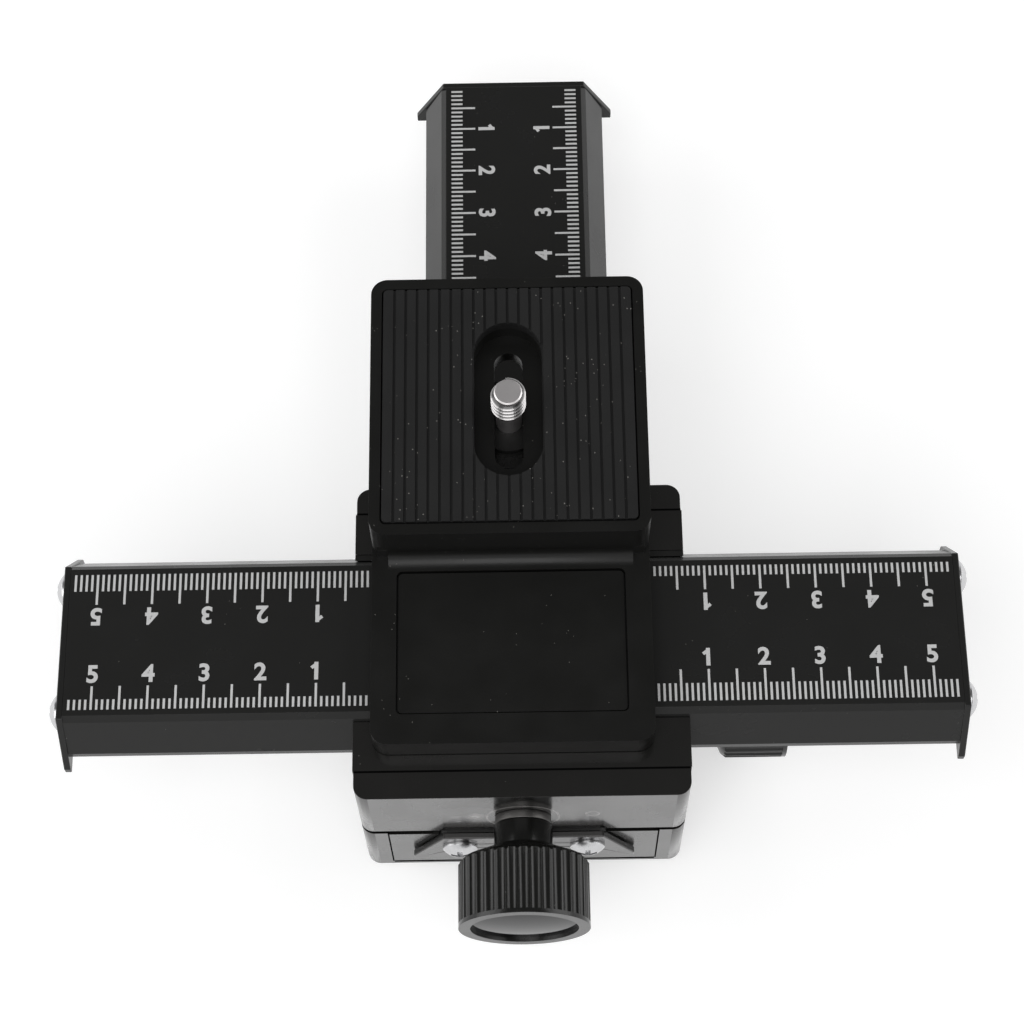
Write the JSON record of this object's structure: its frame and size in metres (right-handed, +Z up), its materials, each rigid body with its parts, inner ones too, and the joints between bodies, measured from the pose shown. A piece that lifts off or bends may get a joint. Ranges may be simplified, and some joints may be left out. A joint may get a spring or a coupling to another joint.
{
  "type": "focusing rail",
  "caption": "Black cross-slide macro focusing rail with two rack-and-pinion stages, ribbed camera platform and captive camera screw",
  "frame": {"origin": "centre of the tripod plate's bottom face, on the tripod thread's axis", "axes": "+Z up; +Y away from the front knob, along the lower rail; +X along the upper rail towards the right knob"},
  "size_m": [0.1662, 0.1831, 0.0703],
  "materials": {
    "black_anodised": "black anodised aluminium, satin",
    "black_plastic": "black moulded plastic, satin",
    "gloss_black": "polished black plastic disc",
    "zinc_steel": "bright zinc-plated steel",
    "turned_steel": "turned steel",
    "thread_brass": "brass thread insert",
    "pad_rubber": "ribbed black rubber",
    "gib_plastic": "black low-friction plastic"
  },
  "bodies": {
    "base": {"tripod_plate": "black_anodised", "tripod_thread_insert": "thread_brass", "tripod_plate_screws": "zinc_steel", "lower_housing": "black_plastic", "lower_slide_core": "black_anodised", "lower_gib_strip": "gib_plastic", "lower_shaft_bush": "zinc_steel"},
    "y_stage": {"lower_rail": "black_anodised", "lower_rack": "turned_steel", "lower_front_plate": "black_anodised", "lower_rear_plate": "black_anodised", "lower_end_screws": "zinc_steel", "stage_screws": "zinc_steel", "upper_housing": "black_plastic", "upper_slide_core": "black_anodised", "upper_gib_strip": "gib_plastic", "upper_shaft_bush": "zinc_steel"},
    "x_stage": {"upper_rail": "black_anodised", "upper_rack": "turned_steel", "upper_left_plate": "black_anodised", "upper_right_plate": "black_anodised", "upper_end_screws": "zinc_steel", "camera_bracket": "black_plastic", "bracket_screws": "zinc_steel", "label_plate": "black_plastic", "rubber_pad": "pad_rubber"},
    "y_drive": {"lower_pinion_shaft": "turned_steel", "lower_focus_knob": "black_plastic", "lower_knob_cap": "gloss_black"},
    "x_drive": {"upper_pinion_shaft": "turned_steel", "upper_focus_knob": "black_plastic", "upper_knob_cap": "gloss_black"},
    "screw_slide": {"screw_washer": "zinc_steel"},
    "camera_screw": {"camera_screw": "zinc_steel", "screw_knob": "black_plastic"}
  },
  "joints": [
    {"name": "y_slide", "type": "slide", "parent": "base", "child": "y_stage", "axis": [0, 1, 0], "range_m": [-0.0997, 0]},
    {"name": "x_slide", "type": "slide", "parent": "y_stage", "child": "x_stage", "axis": [1, 0, 0], "range_m": [-0.04835, 0.05135]},
    {"name": "y_knob_spin", "type": "hinge", "parent": "base", "child": "y_drive", "pos_m": [0.045, 0, 0.01592], "axis": [1, 0, 0], "range_deg": [-2, 1193]},
    {"name": "x_knob_spin", "type": "hinge", "parent": "y_stage", "child": "x_drive", "pos_m": [0, -0.045, 0.03742], "axis": [0, 1, 0], "range_deg": [-580, 616]},
    {"name": "camera_screw_slide", "type": "slide", "parent": "x_stage", "child": "screw_slide", "axis": [0, 1, 0], "range_m": [-0.0082, 0.0098]},
    {"name": "camera_screw_spin", "type": "hinge", "parent": "screw_slide", "child": "camera_screw", "pos_m": [-0.0015, 0.0392, 0.0658], "axis": [0, 0, 1], "continuous": true}
  ],
  "couplings": [
    {"joint": "y_knob_spin", "follows": "y_slide", "rad_per_m": -208.33},
    {"joint": "x_knob_spin", "follows": "x_slide", "rad_per_m": 208.33}
  ]
}
